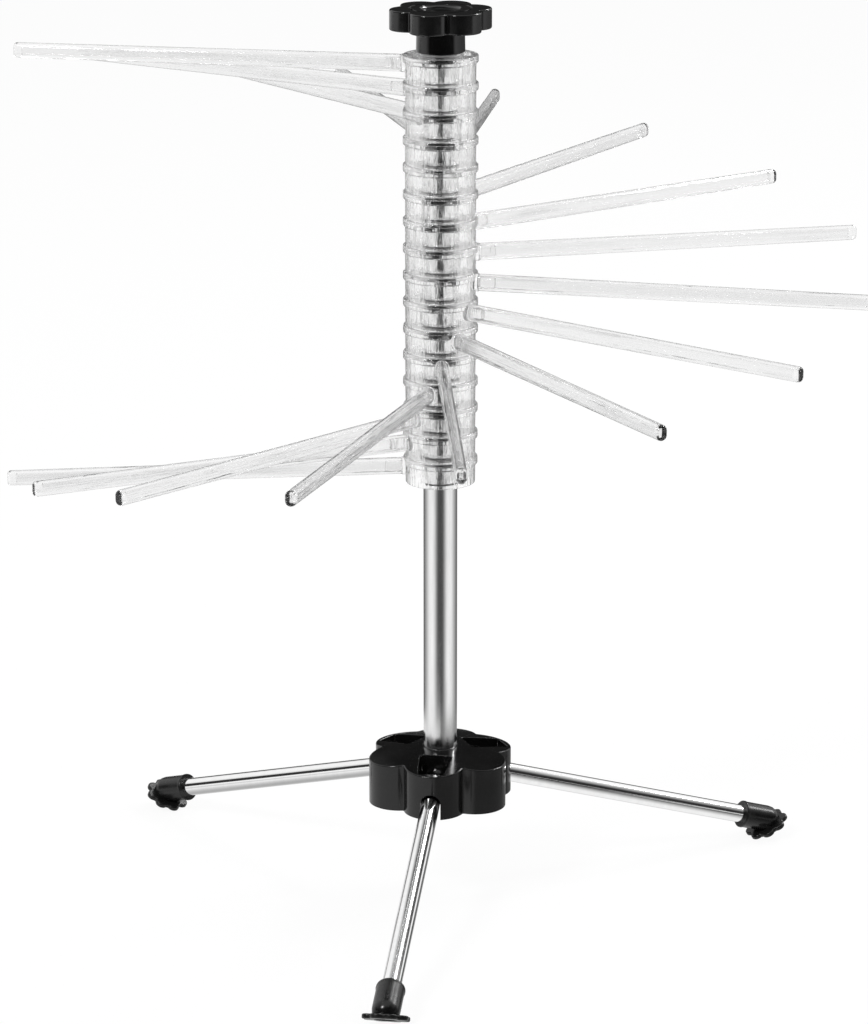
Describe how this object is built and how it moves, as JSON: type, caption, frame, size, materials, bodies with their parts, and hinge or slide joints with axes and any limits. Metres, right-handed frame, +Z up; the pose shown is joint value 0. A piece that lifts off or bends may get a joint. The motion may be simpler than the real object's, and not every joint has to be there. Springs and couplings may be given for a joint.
{
  "type": "pasta drying rack",
  "caption": "Free-standing drying rack: a spiral fan of slim clear arms turning on a chrome post under a lobed clamp knob, on folding legs with angled rubber feet.",
  "frame": {"origin": "on the ground under the column's axis, between the three feet", "axes": "+Z up along the column, -Y towards the side that the picture shows, +X to that view's right"},
  "size_m": [0.4254, 0.4301, 0.4555],
  "materials": {
    "clear_plastic": "polished clear",
    "chrome": "polished plating",
    "black_plastic": "glossy moulding",
    "black_rubber": "smooth soft rubber",
    "steel": "plain zinc plated"
  },
  "bodies": {
    "base": {"hub": "black_plastic", "column_sleeve": "chrome", "column_core": "chrome", "top_insert": "black_plastic", "bottom_insert": "black_plastic", "hub_screw": "steel", "leg_pin_1": "steel", "leg_pin_2": "steel", "leg_pin_3": "steel"},
    "leg_1": {"leg_end_1": "chrome", "leg_tube_1": "chrome", "foot_1": "black_rubber"},
    "leg_2": {"leg_end_2": "chrome", "leg_tube_2": "chrome", "foot_2": "black_rubber"},
    "leg_3": {"leg_end_3": "chrome", "leg_tube_3": "chrome", "foot_3": "black_rubber"},
    "arm_01_turning": {"ring_01": "clear_plastic", "rod_01": "clear_plastic"},
    "arm_02_turning": {"ring_02": "clear_plastic", "rod_02": "clear_plastic"},
    "arm_03_turning": {"ring_03": "clear_plastic", "rod_03": "clear_plastic"},
    "arm_04_turning": {"ring_04": "clear_plastic", "rod_04": "clear_plastic"},
    "arm_05_turning": {"ring_05": "clear_plastic", "rod_05": "clear_plastic"},
    "arm_06_turning": {"ring_06": "clear_plastic", "rod_06": "clear_plastic"},
    "arm_07_turning": {"ring_07": "clear_plastic", "rod_07": "clear_plastic"},
    "arm_08_turning": {"ring_08": "clear_plastic", "rod_08": "clear_plastic"},
    "arm_09_turning": {"ring_09": "clear_plastic", "rod_09": "clear_plastic"},
    "arm_10_turning": {"ring_10": "clear_plastic", "rod_10": "clear_plastic"},
    "arm_11_turning": {"ring_11": "clear_plastic", "rod_11": "clear_plastic"},
    "arm_12_turning": {"ring_12": "clear_plastic", "rod_12": "clear_plastic"},
    "arm_13_turning": {"ring_13": "clear_plastic", "rod_13": "clear_plastic"},
    "arm_14_turning": {"ring_14": "clear_plastic", "rod_14": "clear_plastic"},
    "arm_15_turning": {"ring_15": "clear_plastic", "rod_15": "clear_plastic"},
    "arm_16_turning": {"ring_16": "clear_plastic", "rod_16": "clear_plastic"},
    "washer_lift": {"clamp_washer": "steel"},
    "knob_turning": {"knob": "black_plastic", "knob_stud": "steel"}
  },
  "joints": [
    {"name": "leg_1_fold", "type": "hinge", "parent": "base", "child": "leg_1", "pos_m": [-0.00269, -0.01941, 0.0624], "axis": [0.9905, -0.1374, 0], "range_deg": [0, 72]},
    {"name": "leg_2_fold", "type": "hinge", "parent": "base", "child": "leg_2", "pos_m": [0.01816, 0.00737, 0.0624], "axis": [-0.3762, 0.9265, 0], "range_deg": [0, 72]},
    {"name": "leg_3_fold", "type": "hinge", "parent": "base", "child": "leg_3", "pos_m": [-0.01547, 0.01204, 0.0624], "axis": [-0.6143, -0.7891, 0], "range_deg": [0, 72]},
    {"name": "arm_16_turn", "type": "hinge", "parent": "base", "child": "arm_16_turning", "pos_m": [0, 0, 0.22365], "axis": [0, 0, 1], "continuous": true},
    {"name": "arm_15_turn", "type": "hinge", "parent": "arm_16_turning", "child": "arm_15_turning", "pos_m": [0, 0, 0.23715], "axis": [0, 0, 1], "range_deg": [-18.8, 11.2]},
    {"name": "arm_14_turn", "type": "hinge", "parent": "arm_15_turning", "child": "arm_14_turning", "pos_m": [0, 0, 0.25065], "axis": [0, 0, 1], "range_deg": [-20.7, 9.3]},
    {"name": "arm_13_turn", "type": "hinge", "parent": "arm_14_turning", "child": "arm_13_turning", "pos_m": [0, 0, 0.26415], "axis": [0, 0, 1], "range_deg": [-25.3, 4.7]},
    {"name": "arm_12_turn", "type": "hinge", "parent": "arm_13_turning", "child": "arm_12_turning", "pos_m": [0, 0, 0.27765], "axis": [0, 0, 1], "range_deg": [-20.8, 9.2]},
    {"name": "arm_11_turn", "type": "hinge", "parent": "arm_12_turning", "child": "arm_11_turning", "pos_m": [0, 0, 0.29115], "axis": [0, 0, 1], "range_deg": [-25.2, 4.8]},
    {"name": "arm_10_turn", "type": "hinge", "parent": "arm_11_turning", "child": "arm_10_turning", "pos_m": [0, 0, 0.30465], "axis": [0, 0, 1], "range_deg": [-23, 7]},
    {"name": "arm_09_turn", "type": "hinge", "parent": "arm_10_turning", "child": "arm_09_turning", "pos_m": [0, 0, 0.31815], "axis": [0, 0, 1], "range_deg": [-26.2, 3.8]},
    {"name": "arm_08_turn", "type": "hinge", "parent": "arm_09_turning", "child": "arm_08_turning", "pos_m": [0, 0, 0.33165], "axis": [0, 0, 1], "range_deg": [-26.6, 3.4]},
    {"name": "arm_07_turn", "type": "hinge", "parent": "arm_08_turning", "child": "arm_07_turning", "pos_m": [0, 0, 0.34515], "axis": [0, 0, 1], "range_deg": [-22.5, 7.5]},
    {"name": "arm_06_turn", "type": "hinge", "parent": "arm_07_turning", "child": "arm_06_turning", "pos_m": [0, 0, 0.35865], "axis": [0, 0, 1], "range_deg": [-23.4, 6.6]},
    {"name": "arm_05_turn", "type": "hinge", "parent": "arm_06_turning", "child": "arm_05_turning", "pos_m": [0, 0, 0.37215], "axis": [0, 0, 1], "range_deg": [-22.7, 7.3]},
    {"name": "arm_04_turn", "type": "hinge", "parent": "arm_05_turning", "child": "arm_04_turning", "pos_m": [0, 0, 0.38565], "axis": [0, 0, 1], "range_deg": [-22.6, 7.4]},
    {"name": "arm_03_turn", "type": "hinge", "parent": "arm_04_turning", "child": "arm_03_turning", "pos_m": [0, 0, 0.39915], "axis": [0, 0, 1], "range_deg": [-22.5, 7.5]},
    {"name": "arm_02_turn", "type": "hinge", "parent": "arm_03_turning", "child": "arm_02_turning", "pos_m": [0, 0, 0.41265], "axis": [0, 0, 1], "range_deg": [-21, 9]},
    {"name": "arm_01_turn", "type": "hinge", "parent": "arm_02_turning", "child": "arm_01_turning", "pos_m": [0, 0, 0.42615], "axis": [0, 0, 1], "range_deg": [-20.9, 9.1]},
    {"name": "clamp_lift", "type": "slide", "parent": "base", "child": "washer_lift", "axis": [0, 0, 1], "range_m": [0, 0.0025]},
    {"name": "knob_turn", "type": "hinge", "parent": "washer_lift", "child": "knob_turning", "pos_m": [0, 0, 0.4329], "axis": [0, 0, 1], "range_deg": [0, 720]}
  ],
  "couplings": [
    {"joint": "knob_turn", "follows": "clamp_lift", "rad_per_m": 5026.5}
  ]
}
